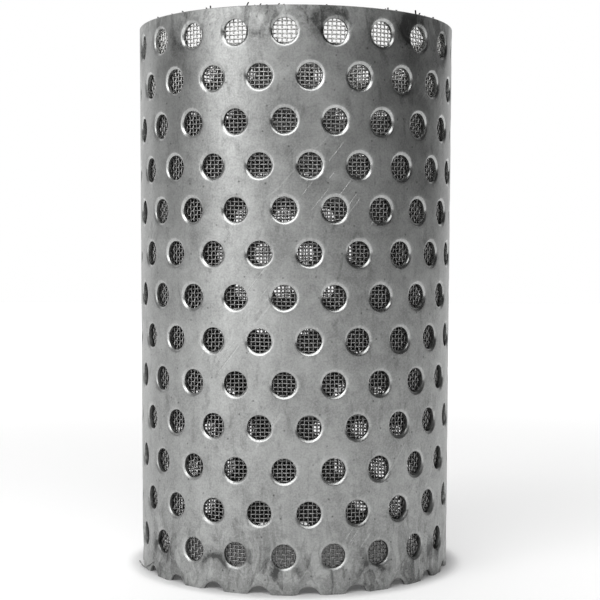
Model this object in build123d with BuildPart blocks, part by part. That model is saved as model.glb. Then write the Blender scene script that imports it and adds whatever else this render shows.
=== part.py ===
from build123d import *
from math import cos, pi, radians, sin, sqrt, tan
import os

# A cylindrical strainer screen for a Y-shaped pipe strainer.
# It is a perforated stainless sheet, rolled into a tube that is open at both ends,
# with a sleeve of woven wire cloth inside it. Spot welds near both rims hold the two together.
# The tube stands on Z = 0 with its axis on Z. The side that is seen first faces -Y.

# Driving dimensions, in millimetres and degrees

# Punched pattern: 3/16 inch holes on 3/8 inch centres, each row staggered by half a pitch
hole_diameter = 4.7625
hole_pitch = 9.525
columns = 21
row_pitch = hole_pitch * sqrt(3) / 2

# Rolled sheet
sheet_thickness = 1.0
tube_height = 111.125
top_margin = 4.65
first_column_turn = -3.7

# Wire cloth sleeve
cloth_clearance = 0.1
wire_diameter = 0.32
wires_per_flat = 2
cloth_top_gap = 0.2
cloth_foot_gap = 2.0
cloth_hem = 1.6

# The rolled wall is drawn with one flat for each upright line of holes, so that every hole
# is cut square through one flat. The flats leave the true circle by less than 0.1 mm.
flats = 2 * columns
flat_turn = 360 / flats
half_flat_turn = radians(flat_turn / 2)

# The sheet keeps its length along its middle when it is rolled
middle_radius = columns * hole_pitch / (2 * pi)
outer_radius = middle_radius + sheet_thickness / 2
outer_flat = outer_radius * cos(half_flat_turn)
inner_flat = outer_flat - sheet_thickness

# Each punched hole is drawn with ten sides. Its corners lie on the true circle, the first one
# at the top, so that the sides stay clear of the edges of the flat.
hole_sides = 10
hole_radius = hole_diameter / 2
cut_depth = 3 * sheet_thickness


def flat_radius(apothem):
    """Corner radius of the flats whose faces lie at this distance from the axis."""
    return apothem / cos(half_flat_turn)


def wall_plane(turn, distance, height):
    """A plane that faces outwards from the axis, turned from -Y towards +X, with its X axis upwards."""
    outwards = Vector(sin(radians(turn)), -cos(radians(turn)), 0)
    return Plane(origin=outwards * distance + Vector(0, 0, height), x_dir=(0, 0, 1), z_dir=outwards)


def base_plane(height):
    """A level plane, turned so that a flat of a drawn polygon faces the first column of holes."""
    turn = first_column_turn - 90 + flat_turn / 2
    return Plane(origin=(0, 0, height), x_dir=(cos(radians(turn)), sin(radians(turn)), 0), z_dir=(0, 0, 1))


# Perforated tube
# The rows start below the upper rim and go on until the sheet ends, so that the last row
# is cut through by the lower rim, as in a blank sheared from a larger sheet.
row_count = int((tube_height - top_margin + hole_radius) / row_pitch) + 1
hole_planes = []
for row in range(row_count):
    for column in range(columns):
        turn = first_column_turn + (column + row % 2 / 2) * 2 * flat_turn
        height = tube_height - top_margin - row * row_pitch
        hole_planes.append(wall_plane(turn, inner_flat - sheet_thickness, height))

with BuildPart() as perforated_tube:
    with BuildSketch(base_plane(0)):
        RegularPolygon(outer_radius, flats)
        RegularPolygon(flat_radius(inner_flat), flats, mode=Mode.SUBTRACT)
    extrude(amount=tube_height)
    with BuildSketch(*hole_planes):
        RegularPolygon(hole_radius, hole_sides)
    extrude(amount=cut_depth, mode=Mode.SUBTRACT)

# Wire cloth sleeve
# The cloth is a thin wall behind the flats. Its upright wires stand out as ridges, and the
# open mesh between them shows as upright slits that stop at a plain hem at each rim.
ridge_flat = inner_flat - cloth_clearance
wall_outer_flat = ridge_flat - wire_diameter
wall_inner_flat = wall_outer_flat - wire_diameter
flat_width = 2 * wall_outer_flat * tan(half_flat_turn)
wire_pitch = flat_width / wires_per_flat
cloth_bottom = cloth_foot_gap
cloth_height = tube_height - cloth_top_gap - cloth_bottom
slit_width = wire_pitch - 2 * wire_diameter
slit_height = cloth_height - 2 * cloth_hem
slit_middle = cloth_bottom + cloth_height / 2
flat_turns = [first_column_turn + number * flat_turn for number in range(flats)]

with BuildPart() as mesh_sleeve:
    with BuildSketch(base_plane(cloth_bottom)):
        RegularPolygon(flat_radius(wall_outer_flat), flats)
        with PolarLocations(wall_outer_flat, flats, start_angle=flat_turn / 2):
            with GridLocations(0, wire_pitch, 1, wires_per_flat):
                Rectangle(2 * wire_diameter, wire_diameter)
        RegularPolygon(flat_radius(wall_inner_flat), flats, mode=Mode.SUBTRACT)
    extrude(amount=cloth_height)
    slit_planes = [wall_plane(turn, wall_inner_flat - wire_diameter, slit_middle) for turn in flat_turns]
    with BuildSketch(*slit_planes):
        with GridLocations(0, wire_pitch, 1, wires_per_flat - 1):
            Rectangle(slit_height, slit_width)
    extrude(amount=4 * wire_diameter, mode=Mode.SUBTRACT)

perforated_tube.part.label = "perforated_tube"
mesh_sleeve.part.label = "mesh_sleeve"
os.makedirs("parts", exist_ok=True)
export_step(perforated_tube.part, "parts/perforated_tube.step")
export_step(mesh_sleeve.part, "parts/mesh_sleeve.step")
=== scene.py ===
# %% [markdown]
# A strainer screen is a tube of punched stainless sheet with a sleeve of woven wire cloth
# inside it. Liquid runs in at one end and out through the holes, and the cloth holds back
# the grit. This lesson dresses the imported CAD model of such a screen. The first cell loads
# that model and keeps the box that it fills.

# %% Load the frame
from math import cos, pi, radians, sin, sqrt

import bmesh
import bpy
import numpy as np
from mathutils import Matrix, Vector


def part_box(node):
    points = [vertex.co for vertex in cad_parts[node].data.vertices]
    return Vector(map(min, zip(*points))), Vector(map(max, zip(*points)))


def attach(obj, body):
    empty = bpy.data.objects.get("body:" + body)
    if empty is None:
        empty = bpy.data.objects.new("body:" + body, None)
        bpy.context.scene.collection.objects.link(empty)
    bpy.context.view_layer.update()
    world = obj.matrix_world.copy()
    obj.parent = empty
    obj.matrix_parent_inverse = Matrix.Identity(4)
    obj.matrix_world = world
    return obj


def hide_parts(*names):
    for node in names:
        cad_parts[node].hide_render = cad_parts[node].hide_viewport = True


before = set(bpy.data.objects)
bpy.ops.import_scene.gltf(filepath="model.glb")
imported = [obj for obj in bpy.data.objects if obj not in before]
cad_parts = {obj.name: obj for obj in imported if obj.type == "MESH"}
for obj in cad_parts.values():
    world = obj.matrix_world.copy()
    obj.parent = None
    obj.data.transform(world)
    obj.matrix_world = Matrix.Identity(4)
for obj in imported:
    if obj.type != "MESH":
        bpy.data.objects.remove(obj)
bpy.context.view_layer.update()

MM = 0.001
tube_low, tube_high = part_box("perforated_tube")
sleeve_low, sleeve_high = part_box("mesh_sleeve")

# %% [markdown]
# The sheet was punched flat and rolled afterwards, so its pattern is worked out flat, in
# millimetres, and bent round the axis at the end. The holes are 3/16 inch on 3/8 inch
# centres, and each row is shifted by half a pitch. Bending keeps the length along the
# middle of the sheet, which gives the radius.

# %% The sizes of the punched sheet
HOLE_RADIUS = 4.7625 / 2
HOLE_PITCH = 9.525
ROW_PITCH = HOLE_PITCH * sqrt(3) / 2
COLUMNS = 21
SHEET = 1.0
TOP_MARGIN = 4.65
FIRST_COLUMN_TURN = radians(-3.7)
HEIGHT = (tube_high.z - tube_low.z) / MM
MIDDLE_RADIUS = COLUMNS * HOLE_PITCH / (2 * pi)
OUTER_RADIUS = MIDDLE_RADIUS + SHEET / 2
FULL_ROWS = int((HEIGHT - TOP_MARGIN - HOLE_RADIUS) / ROW_PITCH) + 1
print("outer radius:", round(OUTER_RADIUS, 3), "mm, full rows of holes:", FULL_ROWS)


def row_height(row):
    """Height of a row's hole centres: down from the upper rim by the margin and the row pitches."""
    return HEIGHT - TOP_MARGIN - row * ROW_PITCH


def roll(along, height, depth):
    """Rolls flat points into the tube, in metres: angle = along / middle radius, radius = outer radius - depth."""
    turn = FIRST_COLUMN_TURN + along / MIDDLE_RADIUS
    radius = OUTER_RADIUS - depth
    return np.stack([radius * np.sin(turn), -radius * np.cos(turn), height], -1) * MM


# %% [markdown]
# The cloth is fused to the sheet by spot welds near both rims. Each electrode leaves a
# shallow round dent, and one side of its rim is painted dark, a painted shade. Their places
# follow the photograph on the side that it shows, and the same spacing goes on round the
# back. A dent is a smooth step in depth, so it can be worked out for any point of the flat
# sheet.

# %% Where the spot welds are
WELD_RADIUS = 2.5
WELD_RIM = 1.5
WELD_DEPTH = 0.15
WELD_SPACING = 29
# (degrees from the front, millimetres from the rim) of the welds that the photograph shows
FOOT_WELDS = [(-84, 4.4), (-56, 4.7), (-29, 4.3), (-2.4, 3.4), (27.5, 3.0), (60, 3.6)]
HEAD_WELDS = [(-73, 4.5), (-42, 4.0), (-13.4, 2.6), (11.3, 2.6), (43.5, 2.5), (64, 5.4)]


def weld_places():
    """The welds' middles on the flat sheet, as (along, height). The hidden ones follow at the usual spacing."""
    places = []
    for shown, measured_up in ((FOOT_WELDS, True), (HEAD_WELDS, False)):
        ring = list(shown)
        while ring[-1][0] + 1.6 * WELD_SPACING < 360 + ring[0][0]:
            ring.append((ring[-1][0] + WELD_SPACING, 3.9 + 0.9 * sin(ring[-1][0])))
        places += [(turn, rise if measured_up else HEIGHT - rise) for turn, rise in ring]
    turns, heights = np.array(places, float).T
    along = (np.radians(turns) - FIRST_COLUMN_TURN) * MIDDLE_RADIUS
    return np.stack([along, heights], 1)


WELDS = weld_places()
ROUND = 2 * pi * MIDDLE_RADIUS


def from_weld(along, height):
    """Place of each point in its nearest weld's own millimetres. The distance along is taken the short way round."""
    across = along[..., None] - WELDS[:, 0]
    across -= ROUND * np.round(across / ROUND)
    up = height[..., None] - WELDS[:, 1]
    nearest = np.argmin(across**2 + up**2, -1)[..., None]
    return np.stack([np.take_along_axis(side, nearest, -1)[..., 0] for side in (across, up)], -1)


def dent(along, height):
    """Depth of the weld dents: flat at the bottom, then a smoothstep up to the sheet over the dent's rim."""
    distance = np.linalg.norm(from_weld(along, height), axis=-1)
    step = np.clip((WELD_RADIUS + WELD_RIM / 2 - distance) / WELD_RIM, 0, 1)
    return WELD_DEPTH * step * step * (3 - 2 * step)


print("spot welds:", len(WELDS))

# %% [markdown]
# The punched wall could be a cylinder with some 270 Boolean cuts, but those leave long thin
# triangles that shade badly. Instead the flat sheet is tiled like a brick wall: each cell
# holds one hole, and rings of points run from the cell's border to the hole's edge, down
# the hole's wall and out to the border again on the inner face. A punch drags the sheet's
# skin into the hole, so the rings next to the hole sink more and more towards it, and this
# wide dished edge catches the light. Half-way points on the long sides of each border meet
# the corners of the next row, so the cells weld into one closed wall.

# %% One cell of the sheet
LONG_STEPS = 8
SHORT_STEPS = 4
DISH_WIDTH = 0.64
DISH_DEPTH = 0.30
DISH_POWER = 2.0
BURR_SIDE_BREAK = 0.07


def cell_border():
    """The cell's rectangle, anticlockwise from the middle of its right side, with evenly spaced points on each side."""
    half_wide, half_high = HOLE_PITCH / 2, ROW_PITCH / 2
    across = np.linspace(1, -1, LONG_STEPS + 1)[:-1] * half_wide
    upright = np.linspace(1, -1, SHORT_STEPS + 1)[:-1] * half_high
    top = np.stack([across, np.full(LONG_STEPS, half_high)], 1)
    left = np.stack([np.full(SHORT_STEPS, -half_wide), upright], 1)
    loop = np.concatenate([top, left, -top, -left])
    return np.roll(loop, SHORT_STEPS // 2, axis=0)


def edge_profile(flat_shares):
    """The rings as (share of the border, distance outside the hole, depth), from the outer border to the inner one.

    The dished edge sinks by the dish's depth times a power of the way s from its start to the hole.
    """
    rings = [(1.0, 0.0, 0.0)] + [(share, 1.4 * DISH_WIDTH, 0.0) for share in flat_shares]
    for way in (0.0, 0.2, 0.45, 0.72, 1.0):
        rings.append((0.0, DISH_WIDTH * (1 - way), DISH_DEPTH * way**DISH_POWER))
    rings.append((0.0, 0.0, SHEET - BURR_SIDE_BREAK))
    rings.append((0.0, BURR_SIDE_BREAK, SHEET))
    rings.append((1.0, 0.0, SHEET))
    return np.array(rings)


def ruled_rings(border, circle_angles, hole_middle_drop, profile):
    """Points between a border and a hole: share * border + (1 - share) * circle of radius hole + distance."""
    share, offset, depth = (column[:, None] for column in profile.T)
    radius = HOLE_RADIUS + offset
    circle_x = radius * np.cos(circle_angles)
    circle_y = radius * np.sin(circle_angles) - hole_middle_drop
    x = share * border[:, 0] + (1 - share) * circle_x
    y = share * border[:, 1] + (1 - share) * circle_y
    return np.stack([x, y, np.broadcast_to(depth, x.shape)], -1)


def ring_quads(rings, steps, closed):
    """Quads of a grid of rings by steps, turned so that the first ring's side faces the viewer."""
    ring, step = np.meshgrid(np.arange(rings - 1), np.arange(steps if closed else steps - 1), indexing="ij")
    ring, step = ring.ravel(), step.ravel()
    after = (step + 1) % steps
    here, below = ring * steps, (ring + 1) * steps
    return np.stack([here + step, here + after, below + after, below + step], 1)


border = cell_border()
whole_angles = np.arange(len(border)) * 2 * pi / len(border)
plain_cell = ruled_rings(border, whole_angles, 0.0, edge_profile((0.3,)))
welded_cell = ruled_rings(border, whole_angles, 0.0, edge_profile((0.7, 0.4, 0.15)))
print("points in a plain cell:", plain_cell.shape[0] * plain_cell.shape[1])

# %% [markdown]
# The blank was sheared through a row of holes, so the lower rim ends in a row of arcs, and
# each cell there is only the strip above the cut. It uses the same rings, on an arc in
# place of the whole circle. The upper rim is a plain strip that closes the wall.

# %% The cut row at the foot and the strip at the head
FOOT_CELL_TOP = row_height(FULL_ROWS - 1) - ROW_PITCH / 2
FOOT_HOLE_DROP = -row_height(FULL_ROWS)
RIM_BREAK = 0.12


def foot_cell():
    """Rings between the cell's open border and the arc that the lower rim leaves of its hole."""
    half_wide = HOLE_PITCH / 2
    sides = np.array([0, FOOT_CELL_TOP / 2])
    right = np.stack([np.full(2, half_wide), sides], 1)
    top_x = np.linspace(half_wide, -half_wide, LONG_STEPS + 1)
    top = np.stack([top_x, np.full(LONG_STEPS + 1, FOOT_CELL_TOP)], 1)
    left = np.stack([np.full(2, -half_wide), sides[::-1]], 1)
    loop = np.concatenate([right, top, left])
    profile = edge_profile((0.3,))
    rings = []
    for ring in profile:
        start = np.arcsin(FOOT_HOLE_DROP / (HOLE_RADIUS + ring[1]))
        angles = np.linspace(start, pi - start, len(loop))
        rings.append(ruled_rings(loop, angles, FOOT_HOLE_DROP, ring[None])[0])
    return np.array(rings)


def head_strip():
    """The upper rim's outline carried round the tube: outer face, a small break, the sheared edge, a break, inner face."""
    strip_foot = row_height(0) + ROW_PITCH / 2
    outline = np.array([
        (strip_foot, 0.0),
        (HEIGHT - RIM_BREAK, 0.0),
        (HEIGHT, RIM_BREAK),
        (HEIGHT, SHEET - RIM_BREAK),
        (HEIGHT - RIM_BREAK, SHEET),
        (strip_foot, SHEET),
    ])
    steps = COLUMNS * LONG_STEPS
    along = (np.arange(steps) / LONG_STEPS - 0.5) * HOLE_PITCH
    points = np.empty((len(outline), steps, 3))
    points[..., 0] = along
    points[..., 1:] = outline[:, None]
    return points


foot = foot_cell()
head = head_strip()
print("height of the cut cells:", round(FOOT_CELL_TOP, 3), "mm")

# %% [markdown]
# A mesh is built from whole arrays. Each face also gets two UV maps in millimetres: one is
# the flat sheet itself, along which rolling marks and stains are laid, and the other is the
# place of the face in its nearest weld, so that a material can draw that weld's ring as
# crisply as it likes, however large the faces are.

# %% A mesh from arrays


def new_object(name, points, faces):
    """A mesh object at the origin from an array of points and a list or array of faces."""
    mesh = bpy.data.meshes.new(name)
    mesh.from_pydata(points.tolist(), [], faces)
    piece = bpy.data.objects.new(name, mesh)
    bpy.context.scene.collection.objects.link(piece)
    return piece


def corner_map(mesh, name, values):
    """Stores a pair of numbers at each face corner as a UV map."""
    layer = mesh.uv_layers.new(name=name, do_init=False)
    layer.data.foreach_set("uv", np.ascontiguousarray(values, np.float32).ravel())


def weld_seams(piece, distance):
    """Merges the points where cells meet, and turns all faces outwards."""
    work = bmesh.new()
    work.from_mesh(piece.data)
    bmesh.ops.remove_doubles(work, verts=work.verts, dist=distance)
    bmesh.ops.recalc_face_normals(work, faces=work.faces)
    work.to_mesh(piece.data)
    work.free()


def open_edges(mesh):
    """How many edges don't have two faces. A closed wall has none."""
    work = bmesh.new()
    work.from_mesh(mesh)
    count = sum(len(edge.link_faces) != 2 for edge in work.edges)
    work.free()
    return count


# %% [markdown]
# Now the cells are laid out. Odd rows are shifted by half a pitch. The rows that hold welds
# get more rings, so that the dents are real hollows. Shearing leaves a slightly ragged
# lower edge, which is a small unevenness in height there, only upwards, so that the tube
# still stands on the floor.

# %% The perforated tube
# share of dirt and painted shade on the inner face, behind the cloth
INNER_DIRT = 0.7
# the dirt and painted shade in the holes thin out, and the wires are painted lighter, over this many millimetres below
# the upper rim
CLEAN_HEAD = 16


def place_cells(cell, rows):
    """Copies of a cell at each hole of the rows."""
    row = np.repeat(np.array(rows), COLUMNS)
    column = np.tile(np.arange(COLUMNS), len(rows))
    along = (column + (row % 2) / 2) * HOLE_PITCH
    middles = np.stack([along, row_height(row), np.zeros(len(row))], -1)
    return middles[:, None, None, :] + cell


def cell_faces(cells, closed, first):
    """Faces of each copy, with the points counted on from first."""
    count, rings, steps, _ = cells.shape
    quads = ring_quads(rings, steps, closed)
    starts = first + np.arange(count) * rings * steps
    return (starts[:, None, None] + quads).reshape(-1, 4)


def foot_cut_faces(cells, first):
    """The sheared faces under each cut cell: one polygon at the arc's start and one at its end."""
    count, rings, steps, _ = cells.shape
    starts = first + np.arange(count)[:, None] * rings * steps
    right = starts + np.arange(rings) * steps
    left = (starts + np.arange(rings) * steps + steps - 1)[:, ::-1]
    return np.concatenate([right, left])


def ragged(along):
    """Height of the shear marks along the lower rim: a sum of sines with whole numbers of waves round the tube."""
    turn = along / MIDDLE_RADIUS
    waves = 0.10 * np.sin(26 * turn + 0.7) + 0.09 * np.sin(69 * turn) + 0.07 * np.sin(156 * turn + 2.0)
    return np.clip(waves, 0, None)


def build_tube():
    """The whole punched and rolled sheet as one closed wall."""
    welded_rows = [0, FULL_ROWS - 1]
    plain_rows = list(range(1, FULL_ROWS - 1))
    parts = [
        (place_cells(plain_cell, plain_rows), True),
        (place_cells(welded_cell, welded_rows), True),
        (place_cells(foot, [FULL_ROWS]), False),
        (head[None], True),
    ]
    # the foot cell is drawn from the floor, and not from its hole's middle
    parts[2][0][..., 1] -= row_height(FULL_ROWS)
    points, faces, first = [], [], 0
    for cells, closed in parts:
        faces += cell_faces(cells, closed, first).tolist()
        if not closed:
            faces += foot_cut_faces(cells, first).tolist()
        points.append(cells.reshape(-1, 3))
        first += points[-1].shape[0]
    flat = np.concatenate(points)
    along, height, depth = flat.T
    at_foot = height < 1e-6
    height = np.where(at_foot, ragged(along), height)
    solid = roll(along, height, depth + dent(along, height))
    tube = new_object("rolled_tube", solid, faces)
    # the dish and the hole's wall are burnished by the punch: points below the outer face and not on the inner one
    burnished = np.clip(depth / (0.3 * DISH_DEPTH), 0, 1) * (depth < SHEET)
    # dirt and painted shade lie on the inner part of the hole's wall, and thinner on the inner face
    dirt = np.where(depth < SHEET, np.clip((depth - DISH_DEPTH) / (SHEET - BURR_SIDE_BREAK - DISH_DEPTH), 0, 1), INNER_DIRT)
    # near the upper rim the holes are painted lighter: a painted light
    dirt = dirt * (1 - 0.75 * np.clip((height - HEIGHT) / CLEAN_HEAD + 1, 0, 1))
    # the place along the sheet is counted both ways from the front, so that its jump is at the back
    along = along - ROUND * np.round(along / ROUND)
    return tube, np.stack([along, height], 1), faces, {"burnish": burnished, "dirt": dirt}


tube, flat_places, tube_faces, wear = build_tube()
corners = np.concatenate([np.array(face) for face in tube_faces])
sizes = np.array([len(face) for face in tube_faces])
owner = np.repeat(np.arange(len(sizes)), sizes)
starts = np.concatenate([[0], np.cumsum(sizes)[:-1]])


def unwrapped(values):
    """Each corner's place along the sheet, on the same side of the seam as its face's first corner."""
    first = values[starts][owner]
    values = values.copy()
    values[:, 0] -= ROUND * np.round((values[:, 0] - first[:, 0]) / ROUND)
    return values


sheet_map = unwrapped(flat_places[corners])
middle = np.add.reduceat(sheet_map, starts, axis=0) / sizes[:, None]
weld_shift = middle - from_weld(middle[:, 0], middle[:, 1])
corner_map(tube.data, "sheet", sheet_map)
corner_map(tube.data, "weld", sheet_map - weld_shift[owner])
for name, shares in wear.items():
    layer = tube.data.attributes.new(name, "FLOAT", "POINT")
    layer.data.foreach_set("value", shares.astype(np.float32))
weld_seams(tube, 2e-6)
tube.data.shade_smooth()
tube.data.set_sharp_from_angle(angle=radians(42))
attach(tube, "root")
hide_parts("perforated_tube")
print("tube faces:", len(tube.data.polygons), "open edges:", open_edges(tube.data))

# %% [markdown]
# The cloth is a plain weave, with 30 wires to the inch round the tube and 33 up it, as
# counted in the holes of the photograph: every wire passes over one crossing wire and
# under the next. A sine gives that crimp. Its amplitude is half a wire,
# so that crossing wires just touch. Each wire is a three-sided tube with two steps for each
# crossing: about as few faces as still show the bright knuckles. Even and odd wires are out
# of step by half a wave, so each kind is one object. Slow waves in the spacing keep the
# cloth from looking printed.

# %% Sizes of the cloth
INCH = 25.4
UPRIGHTS_PER_INCH = 30
RINGS_PER_INCH = 33
WIRE = 0.28
CLOTH_GAP = 0.08
STEPS_PER_CROSSING = 2
WIRE_SIDES = 3
CLOTH_RADIUS = OUTER_RADIUS - SHEET - CLOTH_GAP - WIRE
UPRIGHTS = 2 * round(pi * CLOTH_RADIUS * UPRIGHTS_PER_INCH / INCH)
UPRIGHT_TURN = 2 * pi / UPRIGHTS
CLOTH_FOOT = sleeve_low.z / MM
CLOTH_HEAD = sleeve_high.z / MM
RINGS = 2 * int((CLOTH_HEAD - CLOTH_FOOT) * RINGS_PER_INCH / INCH / 2)
RING_RISE = (CLOTH_HEAD - CLOTH_FOOT - WIRE) / (RINGS - 1)
print("uprights:", UPRIGHTS, "rings:", RINGS, "ring spacing:", round(RING_RISE, 3), "mm")


def uneven(turn, height):
    """Slow drift of the weave, as (extra turn, extra height): sums of long sine waves round and along the sleeve."""
    sway = 0.0035 * np.sin(3 * turn + height / 17) + 0.0022 * np.sin(7 * turn - height / 9)
    lift = 0.16 * np.sin(4 * turn + height / 23) + 0.09 * np.sin(9 * turn + height / 11)
    return sway, lift * np.clip(height / 15, 0, 1) * np.clip((HEIGHT - height) / 15, 0, 1)


def crimp(upright, ring):
    """Radial shift of a wire where upright and ring numbers are real numbers: half a wire times a cosine wave in both."""
    return WIRE / 2 * np.cos(pi * upright) * np.cos(pi * ring)


def wire_tubes(name, paths, across, outwards, closed):
    """Three-sided tubes round many paths of equal length, given the two directions square to each path."""
    wires, steps, _ = paths.shape
    angles = pi / 2 + np.arange(WIRE_SIDES) * 2 * pi / WIRE_SIDES
    # a triangle's mean width is 3 sqrt(3) / pi times its corner radius, and this makes it the wire's diameter
    corner_radius = WIRE * pi / (3 * sqrt(3))
    ring = [(across * cos(angle) + outwards * sin(angle)) * corner_radius for angle in angles]
    points = paths[:, :, None, :] + np.stack(ring, 2)
    step, side = np.meshgrid(np.arange(steps if closed else steps - 1), np.arange(WIRE_SIDES), indexing="ij")
    step, side = step.ravel(), side.ravel()
    after, beside = (step + 1) % steps, (side + 1) % WIRE_SIDES
    quads = np.stack([
        step * WIRE_SIDES + side,
        step * WIRE_SIDES + beside,
        after * WIRE_SIDES + beside,
        after * WIRE_SIDES + side,
    ], 1)
    starts = np.arange(wires) * steps * WIRE_SIDES
    faces = (starts[:, None, None] + quads).reshape(-1, 4).tolist()
    if not closed:
        low = starts[:, None] + np.arange(WIRE_SIDES)[::-1]
        high = starts[:, None] + (steps - 1) * WIRE_SIDES + np.arange(WIRE_SIDES)
        faces += low.tolist() + high.tolist()
    piece = new_object(name, points.reshape(-1, 3) * MM, faces)
    piece.data.shade_smooth()
    return piece


# %% [markdown]
# The upright wires were cut with the cloth, so their ends differ a little. Some stand just
# above the sheet's rim, where the photograph shows them as dark specks: most of them in a
# bunch left of the middle, and in frayed stretches further out on both sides. A fixed
# formula gives each wire its own end, so that every run makes the same cloth.

# %% The upright wires
LONGEST_END = 0.85
# (degrees from the front, degrees wide, rise as a share of the longest end) of the frayed stretches
FRAYED = [(-14.5, 1.6, 0.7), (-41, 5, 0.3), (-24, 7, 0.22), (51, 8, 0.42)]


def fixed_noise(number, salt):
    """A number from 0 to 1 for each whole number: the fraction of a large sine, which is the same in every run."""
    return np.abs(np.sin(number * 12.9898 + salt) * 43758.5453) % 1


def upright_wires(name, parity):
    """Every second upright wire: height runs along the path, and the crimp moves it in and out."""
    number = np.arange(parity, UPRIGHTS, 2)
    step = np.arange((RINGS + 1) * STEPS_PER_CROSSING + 1) / STEPS_PER_CROSSING - 1
    turn, ring = np.meshgrid(number * UPRIGHT_TURN, step, indexing="ij")
    height = CLOTH_FOOT + WIRE / 2 + ring * RING_RISE
    sway, lift = uneven(turn, height)
    radius = CLOTH_RADIUS + crimp(number[:, None], ring)
    turn, height = turn + sway, height + lift
    share = fixed_noise(number, 1.0) ** 3
    for middle, width, rise in FRAYED:
        away = (np.degrees(number * UPRIGHT_TURN) - middle + 180) % 360 - 180
        share += rise * (0.3 + fixed_noise(number, 3.0)) * np.exp(-(away / width) ** 2)
    spare = share * LONGEST_END
    top = CLOTH_HEAD + 0.1 + spare[:, None]
    foot = CLOTH_FOOT - 0.25 * fixed_noise(number, 5.0)[:, None]
    height[:, -1:] = top
    height[:, -2:-1] = np.minimum(height[:, -2:-1], top - 0.05)
    height[:, :1] = foot
    turn[:, -1] += (fixed_noise(number, 9.0) - 0.5) * 1.6 * UPRIGHT_TURN
    outwards = np.stack([np.sin(turn), -np.cos(turn), np.zeros_like(turn)], -1)
    across = np.stack([np.cos(turn), np.sin(turn), np.zeros_like(turn)], -1)
    paths = radius[..., None] * outwards
    paths[..., 2] = height
    return wire_tubes(name, paths, across, outwards, closed=False)


# %% [markdown]
# The ring wires run round the sleeve, at right angles to the uprights, with the opposite
# crimp: where an upright bows out, the ring bows in.

# %% The ring wires


def ring_wires(name, parity):
    """Every second ring wire: the turn runs along the path, and the crimp is the uprights' with its sign changed."""
    number = np.arange(parity, RINGS, 2)
    step = np.arange(UPRIGHTS * STEPS_PER_CROSSING) / STEPS_PER_CROSSING
    ring, upright = np.meshgrid(number, step, indexing="ij")
    turn = upright * UPRIGHT_TURN
    height = CLOTH_FOOT + WIRE / 2 + ring * RING_RISE
    sway, lift = uneven(turn, height)
    radius = CLOTH_RADIUS - crimp(upright, ring)
    turn, height = turn + sway, height + lift
    outwards = np.stack([np.sin(turn), -np.cos(turn), np.zeros_like(turn)], -1)
    upwards = np.broadcast_to(np.array([0.0, 0.0, 1.0]), outwards.shape)
    paths = radius[..., None] * outwards
    paths[..., 2] = height
    return wire_tubes(name, paths, -upwards, outwards, closed=True)


cloth = [
    upright_wires("upright_wires_even", 0),
    upright_wires("upright_wires_odd", 1),
    ring_wires("ring_wires_even", 0),
    ring_wires("ring_wires_odd", 1),
]
for wires in cloth:
    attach(wires, "root")
    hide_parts("mesh_sleeve")
    print(wires.name, "faces:", len(wires.data.polygons))

# %% [markdown]
# One loose end of wire is caught under the lower rim at the left, where the photograph
# shows it bent outwards. It is a tube along a short path, given in degrees round the tube
# and millimetres out from its face and up from the floor.

# %% The stray wire
STRAY_PATH = np.array([(-63, 0.2, 2.4), (-68, 0.3, 1.1), (-72, 0.4, 0.35), (-74, 0.6, 0.5), (-75.5, 1.0, 1.3)])


def stray_wire(name):
    """A short wire through the path's points, with a cosine ease between each pair of them."""
    steps = np.linspace(0, len(STRAY_PATH) - 1, 21)
    eased = np.floor(steps) + (1 - np.cos(pi * (steps % 1))) / 2
    turn, out, height = (np.interp(eased, np.arange(len(STRAY_PATH)), column) for column in STRAY_PATH.T)
    turn = np.radians(turn)
    outwards = np.stack([np.sin(turn), -np.cos(turn), np.zeros_like(turn)], -1)
    path = (OUTER_RADIUS + out)[:, None] * outwards
    path[:, 2] = height
    along = np.gradient(path, axis=0)
    across = np.cross(along / np.linalg.norm(along, axis=1, keepdims=True), outwards)
    return wire_tubes(name, path[None], across[None], outwards[None], closed=False)


stray = stray_wire("stray_wire")
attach(stray, "root")
cloth.append(stray)

# %% [markdown]
# Colours are written as sRGB hex values, as a paint program shows them. Blender's sockets
# want linear light, so one function turns them. Another small function adds a shader node,
# sets its properties and sockets, and gives back the output that the next node needs.

# %% Helpers for materials


def linear(hex_colour):
    """sRGB hex to linear RGBA: c / 12.92 up to 0.04045, and ((c + 0.055) / 1.055) ** 2.4 above it."""
    channels = [int(hex_colour[i:i + 2], 16) / 255 for i in (0, 2, 4)]
    return [c / 12.92 if c <= 0.04045 else ((c + 0.055) / 1.055) ** 2.4 for c in channels] + [1.0]


def add_node(tree, kind, sockets=None, output=0, **settings):
    """Adds a shader node. Settings are its properties. A socket takes a value, or another node's output as a link."""
    node = tree.nodes.new("ShaderNode" + kind)
    for name, value in settings.items():
        setattr(node, name, value)
    for name, value in (sockets or {}).items():
        if isinstance(value, bpy.types.NodeSocket):
            tree.links.new(value, node.inputs[name])
        else:
            node.inputs[name].default_value = value
    return node.outputs[output] if node.outputs else node


def new_material(name):
    """An empty material and its node tree."""
    material = bpy.data.materials.new(name)
    material.use_nodes = True
    material.node_tree.nodes.clear()
    return material, material.node_tree


# %% [markdown]
# The sheet is cold-rolled stainless with a dull mill finish. It was pickled, handled and
# welded, so it isn't even: it has soft upright bands from rolling, cloudy patches, fine
# grain, thin scratches and a few dark specks. The cleaning acid ran out of the holes and
# left upright smears, and near the rims it left patches with sharp borders. The heat of
# the welds has darkened the sheet round them, and arcs that come and go on one side of
# each weld are painted shade. Each of these is a noise on the flat sheet, in millimetres,
# from the UV map that unrolls the tube.

# %% The noises on the sheet
# name: (size mm, detail, roughness, distortion), for noises through space that look the same each way
SPACE_NOISES = {
    "clouds": (8.5, 5.0, 0.62, 0.4),
    "patches": (27.0, 2.0, 0.5, 0.4),
    "mottle": (2.8, 4.0, 0.66, 0.6),
    "grain": (0.34, 2.0, 0.6, 0.0),
    "breaks": (2.6, 2.0, 0.5, 0.3),
}
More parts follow.
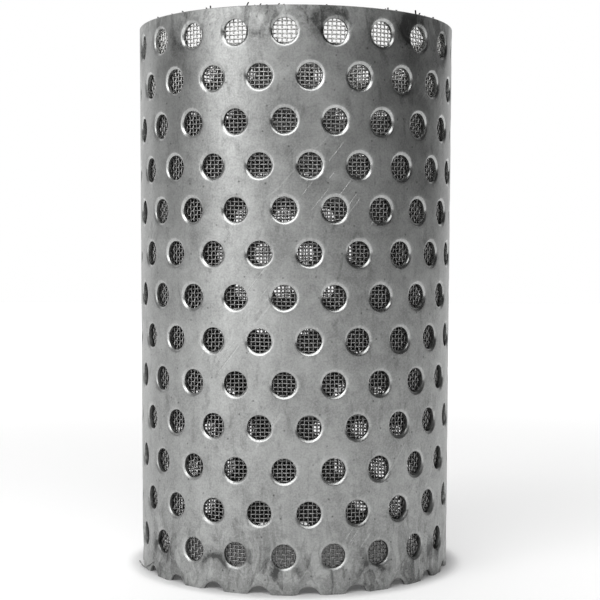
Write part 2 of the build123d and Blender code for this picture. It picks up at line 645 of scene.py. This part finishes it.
# name: (width mm, height mm, turn in degrees, detail, roughness, distortion), for noises laid along the sheet
SHEET_NOISES = {
    "bands": (3.6, 70.0, 0, 3.0, 0.55, 0.0),
    "stains": (3.0, 4.6, 0, 4.0, 0.62, 0.9),
    "washes": (5.0, 12.0, 0, 4.0, 0.6, 0.6),
    "smears": (1.8, 5.5, 0, 3.0, 0.6, 0.4),
    "scratch_lines": (0.5, 70.0, -38, 1.0, 0.5, 0.25),
    "scratch_places": (17.0, 13.0, 0, 1.0, 0.5, 0.0),
}
SPECK_SPACING = 6.0
SPECK_RADIUS = 0.17


def sheet_noises(tree):
    """Each noise of both tables, from 0 to 1, the place to the right and up, and the distance to the nearest speck."""
    solid = add_node(tree, "TexCoord", output="Object")
    place = add_node(tree, "UVMap", uv_map="sheet")
    noises = {}
    for name, (size, detail, roughness, distortion) in SPACE_NOISES.items():
        noises[name] = add_node(tree, "TexNoise", {
            "Vector": solid, "Scale": 1 / (size * MM), "Detail": detail, "Roughness": roughness,
            "Distortion": distortion,
        })
    for name, (width, height, turn, detail, roughness, distortion) in SHEET_NOISES.items():
        laid = add_node(tree, "Mapping", {
            "Vector": place, "Rotation": (0.0, 0.0, radians(turn)), "Scale": (width, height, 1.0),
        }, vector_type="TEXTURE")
        noises[name] = add_node(tree, "TexNoise", {
            "Vector": laid, "Scale": 1.0, "Detail": detail, "Roughness": roughness, "Distortion": distortion,
        }, noise_dimensions="2D")
    noises["rightwards"] = add_node(tree, "SeparateXYZ", {0: solid}, output=0)
    noises["height"] = add_node(tree, "SeparateXYZ", {0: place}, output=1)
    noises["speck_distance"] = add_node(tree, "TexVoronoi", {
        "Vector": place, "Scale": 1 / SPECK_SPACING,
    }, voronoi_dimensions="2D")
    return noises


# %% [markdown]
# One long scratch crosses the upper middle of the front, from the upper right to the lower
# left, and wavers as it goes. A Mapping node lays a frame along it: x runs from -1 to 1 over
# its length, and y is the distance from it in millimetres, which a noise bends.

# %% The long scratch
SCRATCH_MIDDLE = (2.3, 81.4)
SCRATCH_LENGTH = 18.4
SCRATCH_TURN = 46
SCRATCH_WAVER = 3.2


def scratch_frame(tree, noises):
    """Adds the distances along and across the long scratch to the noises."""
    laid = add_node(tree, "Mapping", {
        "Vector": add_node(tree, "UVMap", uv_map="sheet"),
        "Location": (*SCRATCH_MIDDLE, 0.0), "Rotation": (0.0, 0.0, radians(SCRATCH_TURN)),
        "Scale": (SCRATCH_LENGTH / 2, 1.0, 1.0),
    }, vector_type="TEXTURE")
    along = add_node(tree, "SeparateXYZ", {0: laid}, output=0)
    across = add_node(tree, "SeparateXYZ", {0: laid}, output=1)
    waver = add_node(tree, "Math", {0: noises["clouds"], 1: 0.5}, operation="SUBTRACT")
    across = add_node(tree, "Math", {0: waver, 1: SCRATCH_WAVER, 2: across}, operation="MULTIPLY_ADD")
    noises["along_scratch"] = add_node(tree, "Math", {0: along}, operation="ABSOLUTE")
    noises["across_scratch"] = add_node(tree, "Math", {0: across}, operation="ABSOLUTE")


# %% [markdown]
# A mask is a noise or a distance that is cut to a range: a narrow range gives a patch with
# a sharp border, and a wide one a soft cloud. A weld's distance is shifted by the clouds,
# so that its outline isn't a perfect circle. On one side of each weld the heat tint is
# darker and a dark arc is drawn, broken by another noise: both are painted shade. At the
# foot this side lies above the weld, and at the head it lies to the lower left of it. At
# the right of the head the whole weld is burnt dark, and its border is soft. The whole right
# side is a little darker, which is painted shade.

# %% The masks on the sheet
# name: (what it cuts, from, to, value before, value after)
SHEET_MASKS = {
    "near_foot": ("height", 4.0, 19.0, 1.0, 0.0),
    "near_head": ("height", HEIGHT - 9.0, HEIGHT - 2.0, 0.0, 1.0),
    "low_zone": ("height", 4.0, 60.0, 1.0, 0.0),
    "foot_zone": ("height", 10.0, 14.0, 1.0, 0.0),
    "head_zone": ("height", HEIGHT - 14.0, HEIGHT - 10.0, 0.0, 1.0),
    "stain": ("stains", 0.51, 0.54, 0.0, 1.0),
    "wash": ("washes", 0.54, 0.60, 0.0, 1.0),
    "smear": ("smears", 0.56, 0.72, 0.0, 1.0),
    "arc_break": ("breaks", 0.30, 0.62, 0.0, 1.0),
    "speck": ("speck_distance", 0.5 * SPECK_RADIUS / SPECK_SPACING, 1.6 * SPECK_RADIUS / SPECK_SPACING, 1.0, 0.0),
    "scratch_line": ("scratch_lines", 0.70, 0.73, 0.0, 1.0),
    "long_line": ("across_scratch", 0.06, 0.20, 1.0, 0.0),
    "long_ends": ("along_scratch", 0.7, 1.0, 1.0, 0.0),
    "scratch_place": ("scratch_places", 0.58, 0.66, 0.0, 1.0),
    "arc_inside": ("weld_distance", 1.8, 2.6, 0.0, 1.0),
    "arc_outside": ("weld_distance", 2.6, 3.7, 1.0, 0.0),
    "burnt": ("weld_distance", 1.4, 4.6, 1.0, 0.0),
    "right_side": ("rightwards", -4 * MM, 4 * MM, 0.0, 1.0),
    # the right side of the tube is painted darker: painted shade
    "right_side_shade": ("rightwards", 2 * MM, 20 * MM, 0.0, 1.0),
    "heat": ("weld_distance", 2.2, 6.2, 1.0, 0.0),
    "weld_middle": ("weld_distance", 1.0, 2.4, 1.0, 0.0),
    "above_weld": ("weld_up", -0.6, 0.6, 0.0, 1.0),
    "left_of_weld": ("weld_left", -0.4, 0.9, 0.0, 1.0),
}
# mask: the masks whose product it is
JOINED_MASKS = {
    "rim_stain": ("stain", "near_rims"),
    "rim_wash": ("wash", "near_rims"),
    "scratch": ("scratch_line", "scratch_place"),
    "long_scratch": ("long_line", "long_ends"),
    # the side of each weld that gets painted shade: above it at the foot, to the lower left at the head
    "foot_side": ("above_weld", "foot_zone"),
    "head_side": ("left_of_weld", "head_zone"),
    "foot_heat_and_shade": ("heat", "foot_side"),
    "head_heat_and_shade": ("heat", "head_side"),
    "head_burn": ("burnt", "head_zone"),
    "right_burn": ("head_burn", "right_side"),
    "whole_arc": ("arc_inside", "arc_outside"),
    "arc": ("whole_arc", "arc_break"),
    "foot_shade_arc": ("arc", "foot_side"),
    "head_shade_arc": ("arc", "head_side"),
}


def sheet_masks(tree, noises):
    """Cuts every noise to its range with a smoothstep, and multiplies the masks that work together."""
    weld_place = add_node(tree, "UVMap", uv_map="weld")
    straight = add_node(tree, "VectorMath", {0: weld_place}, output="Value", operation="LENGTH")
    # the clouds move the outline by up to about half a millimetre either way
    noises["weld_distance"] = add_node(tree, "Math", {
        0: add_node(tree, "Math", {0: noises["clouds"], 1: 0.5}, operation="SUBTRACT"), 1: 2.6, 2: straight,
    }, operation="MULTIPLY_ADD")
    direction = add_node(tree, "VectorMath", {0: weld_place}, operation="NORMALIZE")
    noises["weld_up"] = add_node(tree, "VectorMath", {0: direction, 1: (0, 1, 0)}, "Value", operation="DOT_PRODUCT")
    noises["weld_left"] = add_node(tree, "VectorMath", {0: direction, 1: (-0.8, -0.6, 0)}, "Value", operation="DOT_PRODUCT")
    masks = {}
    for name, (source, start, end, before, after) in SHEET_MASKS.items():
        masks[name] = add_node(tree, "MapRange", {
            "Value": noises[source], "From Min": start, "From Max": end, "To Min": before, "To Max": after,
        }, interpolation_type="SMOOTHSTEP")
    masks["near_rims"] = add_node(tree, "Math", {0: masks["near_foot"], 1: masks["near_head"]}, operation="MAXIMUM")
    for name, (first, second) in JOINED_MASKS.items():
        masks[name] = add_node(tree, "Math", {0: masks[first], 1: masks[second]}, operation="MULTIPLY")
    return masks


# %% [markdown]
# Now the finish itself. The tone starts at 1, and each noise or mask adds or takes away its
# share. Tone times the steel's grey is the base colour. Roughness and bump are sums of the
# same kind. The punch has burnished the hole's edge, and an attribute on the mesh says
# where, so that the edge is smoother and throws a sharper light. A second attribute says
# where the tone is darkened, partly by dirt and partly as painted shade: deep in the holes,
# and on the inner face behind the cloth.

# %% The sheet's finish
SHEET_STEEL = linear("a0a1a0")
# how much each noise, counted from its middle, adds to the tone
NOISE_TONES = {"bands": 0.26, "clouds": 0.74, "patches": 0.40, "mottle": 0.58, "grain": 0.80}
# how much each mask adds to the tone
MASK_TONES = {
    # painted shade: the darker heat tint and the arc on one side of each weld, and the whole right side
    "smear": -0.18, "heat": -0.14, "foot_heat_and_shade": -0.12, "head_heat_and_shade": -0.22, "right_burn": -0.52, "right_side_shade": -0.09,
    "foot_shade_arc": -0.62, "head_shade_arc": -0.26, "weld_middle": 0.22, "rim_stain": 0.20, "rim_wash": -0.32,
    # a little painted light over the lower part, and painted shade near the foot
    "low_zone": 0.03, "near_foot": -0.12, "speck": -0.45, "scratch": 0.18, "long_scratch": 0.22,
}
# how much each adds to the height of the relief, in units of the bump's distance
RELIEF = {"grain": 0.25, "clouds": 1.0, "foot_shade_arc": -1.2, "head_shade_arc": -1.2, "scratch": -0.5}
RELIEF_HEIGHT = 0.05
SHEET_ROUGHNESS = 0.38
BURNISHED_ROUGHNESS = 0.26
BURNISHED_TONE = 0.22
# how much rougher the holes' edges are at the foot, where they have been scoured
SCOURED = 0.16
# how much the tone darkens where dirt and painted shade lie
DIRT_SHADE = 0.68


def weighted_sum(tree, start, shares, values):
    """Start plus each value times its share, as a chain of multiply-and-add nodes."""
    total = start
    for name, share in shares.items():
        total = add_node(tree, "Math", {0: values[name], 1: share, 2: total}, operation="MULTIPLY_ADD")
    return total


def rolled_sheet_finish():
    """The material of the punched tube."""
    material, tree = new_material("dull_rolled_stainless")
    noises = sheet_noises(tree)
    scratch_frame(tree, noises)
    masks = sheet_masks(tree, noises)
    tone = weighted_sum(tree, 1 - sum(NOISE_TONES.values()) / 2, NOISE_TONES, noises)
    tone = weighted_sum(tree, tone, MASK_TONES, masks)
    burnish = add_node(tree, "Attribute", output="Fac", attribute_name="burnish")
    tone = add_node(tree, "Math", {0: burnish, 1: BURNISHED_TONE, 2: tone}, operation="MULTIPLY_ADD")
    tone = add_node(tree, "Clamp", {"Value": tone, "Min": 0.25, "Max": 1.7})
    # deep in the holes and behind the cloth the tone is darkened: partly dirt, partly painted shade
    dirt = add_node(tree, "Attribute", output="Fac", attribute_name="dirt")
    clean = add_node(tree, "MapRange", {"Value": dirt, "To Min": 1.0, "To Max": 1 - DIRT_SHADE})
    tone = add_node(tree, "Math", {0: tone, 1: clean}, operation="MULTIPLY")
    colour = add_node(tree, "VectorMath", {0: SHEET_STEEL[:3], "Scale": tone}, operation="SCALE")

    rough = weighted_sum(tree, SHEET_ROUGHNESS - 0.11, {"clouds": 0.22}, noises)
    rough = weighted_sum(tree, rough, {"near_rims": 0.05}, masks)
    edge_rough = weighted_sum(tree, BURNISHED_ROUGHNESS, {"low_zone": SCOURED}, masks)
    rough = add_node(tree, "MapRange", {"Value": burnish, "To Min": rough, "To Max": edge_rough})

    relief = weighted_sum(tree, 0.0, RELIEF, {**noises, **masks})
    bump = add_node(tree, "Bump", {"Distance": RELIEF_HEIGHT * MM, "Height": relief})
    shader = add_node(tree, "BsdfPrincipled", {
        "Base Color": colour, "Metallic": 1.0, "Roughness": rough, "Normal": bump,
    })
    add_node(tree, "OutputMaterial", {"Surface": shader})
    return material


tube.data.materials.append(rolled_sheet_finish())
print("noises on the sheet:", len(SPACE_NOISES) + len(SHEET_NOISES), "masks:", len(SHEET_MASKS) + len(JOINED_MASKS))

# %% [markdown]
# The wires are drawn stainless, brighter and smoother than the sheet. Handling leaves a
# little grime, which is a soft noise through space. Each wire's inward half is painted dark,
# a painted shade of the dim inside, which the distance from the axis tells. Near the upper
# rim the wires are painted lighter, a painted light. The cut ends above the rim are drawn
# dark.

# %% The wires' finish
WIRE_STEEL = linear("bababa")
# the lighter colour of the wires near the upper rim is a painted light
CLEAN_WIRE = linear("e4e4e2")
WIRE_GRIME = linear("80807e")
# the colour of each wire's inward half, a painted shade
INWARD_DIRT = linear("666563")
SCORCHED_END = linear("3c3b3a")
GRIME_WIDTH = 4.0


def drawn_wire_finish():
    """The material of the woven cloth."""
    material, tree = new_material("bright_drawn_wire")
    place = add_node(tree, "TexCoord", output="Object")
    grime = add_node(tree, "TexNoise", {"Vector": place, "Scale": 1 / (GRIME_WIDTH * MM), "Detail": 3.0})
    colour = add_node(tree, "Mix", {0: grime, 6: WIRE_GRIME, 7: WIRE_STEEL}, output=2, data_type="RGBA")
    height = add_node(tree, "SeparateXYZ", {0: place}, output=2)
    # near the upper rim the wires are painted lighter: a painted light
    clean = add_node(tree, "MapRange", {
        "Value": height, "From Min": (HEIGHT - CLEAN_HEAD) * MM, "From Max": (HEIGHT - CLEAN_HEAD / 2) * MM,
    })
    colour = add_node(tree, "Mix", {0: clean, 6: colour, 7: CLEAN_WIRE}, output=2, data_type="RGBA")
    # each wire's inward half is painted dark: painted shade
    level_place = add_node(tree, "VectorMath", {0: place, 1: (1, 1, 0)}, operation="MULTIPLY")
    from_axis = add_node(tree, "VectorMath", {0: level_place}, output="Value", operation="LENGTH")
    outward = add_node(tree, "MapRange", {
        "Value": from_axis, "From Min": (CLOTH_RADIUS - 0.10) * MM, "From Max": (CLOTH_RADIUS + 0.12) * MM,
    })
    colour = add_node(tree, "Mix", {0: outward, 6: INWARD_DIRT, 7: colour}, output=2, data_type="RGBA")
    # the cut ends above the upper rim are drawn dark
    end = add_node(tree, "MapRange", {
        "Value": height, "From Min": (HEIGHT - 0.1) * MM, "From Max": (HEIGHT + 0.1) * MM,
    })
    colour = add_node(tree, "Mix", {0: end, 6: colour, 7: SCORCHED_END}, output=2, data_type="RGBA")
    rough = add_node(tree, "MapRange", {"Value": grime, "To Min": 0.46, "To Max": 0.26})
    shader = add_node(tree, "BsdfPrincipled", {"Base Color": colour, "Metallic": 1.0, "Roughness": rough})
    add_node(tree, "OutputMaterial", {"Surface": shader})
    return material


wire_finish = drawn_wire_finish()
for wires in cloth:
    wires.data.materials.append(wire_finish)

# %% [markdown]
# The floor is a plain pale sheet of paint. The photograph's background is pure white, so
# the floor also glows a little, but only in rays that show it: those of the camera, and
# those that metal and glass send out. The glow fades out under the tube and close round it,
# so that the inside stays dark and the tube's own shadow still lies at its foot. It grows
# with the distance, where the lamps reach the floor less.

# %% The floor
FLOOR_REACH = 1.5
FLOOR_LIFT = 0.36
FAR_FLOOR_LIFT = 0.4
INSIDE_LIFT = 0.04
DARK_REACH = 0.0325
BRIGHT_REACH = 0.0365
NEAR_REACH = 0.15
FAR_REACH = 0.6
floor = new_object("floor", np.array([
    (-FLOOR_REACH, -FLOOR_REACH, 0.0),
    (FLOOR_REACH, -FLOOR_REACH, 0.0),
    (FLOOR_REACH, FLOOR_REACH, 0.0),
    (-FLOOR_REACH, FLOOR_REACH, 0.0),
]), [(0, 1, 2, 3)])
floor_paint, tree = new_material("pale_floor")
paint = add_node(tree, "BsdfPrincipled", {"Base Color": linear("e0e0e0"), "Roughness": 0.9})
ray_kinds = [add_node(tree, "LightPath", output=kind) for kind in ("Is Camera Ray", "Is Glossy Ray", "Is Transmission Ray")]
shown = add_node(tree, "Math", {0: ray_kinds[0], 1: ray_kinds[1]}, operation="MAXIMUM")
shown = add_node(tree, "Math", {0: shown, 1: ray_kinds[2]}, operation="MAXIMUM")
from_axis = add_node(tree, "VectorMath", {
    0: add_node(tree, "TexCoord", output="Object"),
}, output="Value", operation="LENGTH")
fade = add_node(tree, "MapRange", {
    "Value": from_axis, "From Min": DARK_REACH, "From Max": BRIGHT_REACH, "To Min": INSIDE_LIFT, "To Max": FLOOR_LIFT,
}, interpolation_type="SMOOTHSTEP")
far_fade = add_node(tree, "MapRange", {
    "Value": from_axis, "From Min": NEAR_REACH, "From Max": FAR_REACH, "To Max": FAR_FLOOR_LIFT,
}, interpolation_type="SMOOTHSTEP")
fade = add_node(tree, "Math", {0: fade, 1: far_fade}, operation="ADD")
lift = add_node(tree, "Math", {0: shown, 1: fade}, operation="MULTIPLY")
glow = add_node(tree, "Emission", {"Color": linear("ffffff"), "Strength": lift})
add_node(tree, "OutputMaterial", {"Surface": add_node(tree, "AddShader", {0: paint, 1: glow})})
floor.data.materials.append(floor_paint)
print("floor:", 2 * FLOOR_REACH, "m square")

# %% [markdown]
# The camera stands where a fit to the photograph puts it: its height is the one at which
# the background shows through the front and back holes of the fifth row, and its distance
# and tilt bring 104 hole middles and both rims within about two pixels. The photograph was
# framed above the middle of the lens, and the shift gives that framing.

# %% The camera
IMAGE_SIDE = 600
SENSOR = 36.0
FOCAL_PIXELS = 1356.8
CAMERA_DISTANCE = 287.3
CAMERA_HEIGHT = 65.0
CAMERA_PITCH = 4.44
CAMERA_ROLL = 0.14
PHOTO_CENTRE_X = 295.0
PHOTO_CENTRE_Y = 360.0

camera_data = bpy.data.cameras.new("camera")
camera_data.sensor_width = SENSOR
camera_data.lens = FOCAL_PIXELS * SENSOR / IMAGE_SIDE
camera_data.shift_x = (IMAGE_SIDE / 2 - PHOTO_CENTRE_X) / IMAGE_SIDE
camera_data.shift_y = (PHOTO_CENTRE_Y - IMAGE_SIDE / 2) / IMAGE_SIDE
camera_data.clip_start = 0.01
camera = bpy.data.objects.new("camera", camera_data)
bpy.context.scene.collection.objects.link(camera)
camera.location = (0.0, -CAMERA_DISTANCE * MM, CAMERA_HEIGHT * MM)
tilt = Matrix.Rotation(radians(90 - CAMERA_PITCH), 4, "X") @ Matrix.Rotation(radians(CAMERA_ROLL), 4, "Z")
camera.rotation_euler = tilt.to_euler()
bpy.context.scene.camera = camera
print("lens:", round(camera_data.lens, 1), "mm")

# %% [markdown]
# A metal shows what stands round it, so its light and dark bands come from the studio. The
# world is that room, and its level depends on the compass direction. A point of the tube
# that is turned by some angle mirrors the room at twice that angle. A pale window at the
# left front gives the light band, the dim room at the right gives the dark one, and the
# white backdrop behind gives the bright edges. The camera, and light that passes through
# glass, see the backdrop all round. Mirrored light sees it where it stands, behind the tube.

# %% The room
bpy.context.scene.view_settings.view_transform = "Standard"
# (degrees round from the camera, positive to the right, and the level there)
ROOM_LEVELS = [
    (-180, 1.0), (-136, 1.0), (-112, 0.34), (-84, 0.28), (-68, 0.60), (-56, 1.30), (-32, 1.05), (-18, 0.46),
    (0, 0.19), (34, 0.09), (50, 0.04), (98, 0.05), (124, 0.24), (150, 1.0), (180, 1.0),
]
world = bpy.data.worlds.new("studio")
bpy.context.scene.world = world
world.use_nodes = True
tree = world.node_tree
tree.nodes.clear()
sight = add_node(tree, "TexCoord", output="Generated")
rightwards = add_node(tree, "SeparateXYZ", {0: sight}, output=0)
towards = add_node(tree, "Math", {0: add_node(tree, "SeparateXYZ", {0: sight}, output=1), 1: -1.0}, operation="MULTIPLY")
compass = add_node(tree, "Math", {0: rightwards, 1: towards}, operation="ARCTAN2")
share = add_node(tree, "MapRange", {"Value": compass, "From Min": -pi, "From Max": pi})
levels = add_node(tree, "ValToRGB", {0: share})
steps = levels.node.color_ramp.elements
while len(steps) < len(ROOM_LEVELS):
    steps.new(0.5)
for step, (degrees, level) in zip(steps, ROOM_LEVELS):
    step.position = degrees / 360 + 0.5
    step.color = (level, level, level, 1.0)
room = add_node(tree, "Background", {"Color": levels})
backdrop = add_node(tree, "Background", {"Color": (1.0, 1.0, 1.0, 1.0)})
shown = add_node(tree, "Math", {
    0: add_node(tree, "LightPath", output="Is Camera Ray"),
    1: add_node(tree, "LightPath", output="Is Transmission Ray"),
}, operation="MAXIMUM")
add_node(tree, "OutputWorld", {"Surface": add_node(tree, "MixShader", {0: shown, 1: room, 2: backdrop})})
print("levels round the room:", len(ROOM_LEVELS))

# %% [markdown]
# Two soft boxes light the rest. The key stands above and in front, so the rounded lower
# edge of each hole throws a bright crescent, at the lower left on the left side of the tube
# and at the lower right on its right side, as in the photograph. It is low enough that it
# lights the inside only near the upper rim.

# %% The lamps


def soft_lamp(name, degrees, elevation, distance, size, watts):
    """A square area lamp that looks at the tube's middle from a compass direction and an elevation."""
    data = bpy.data.lights.new(name, "AREA")
    data.shape = "RECTANGLE"
    data.size, data.size_y = size
    data.energy = watts
    lamp = bpy.data.objects.new(name, data)
    bpy.context.scene.collection.objects.link(lamp)
    turn, rise = radians(degrees), radians(elevation)
    outwards = Vector((sin(turn) * cos(rise), -cos(turn) * cos(rise), sin(rise)))
    lamp.location = Vector((0, 0, HEIGHT * MM / 2)) + outwards * distance
    lamp.rotation_euler = outwards.to_track_quat("Z", "Y").to_euler()
    return lamp


soft_lamp("key_softbox", -6, 44, 0.9, (1.1, 0.5), 4.8)
soft_lamp("window_softbox", -50, 23, 0.9, (0.3, 0.5), 1.0)
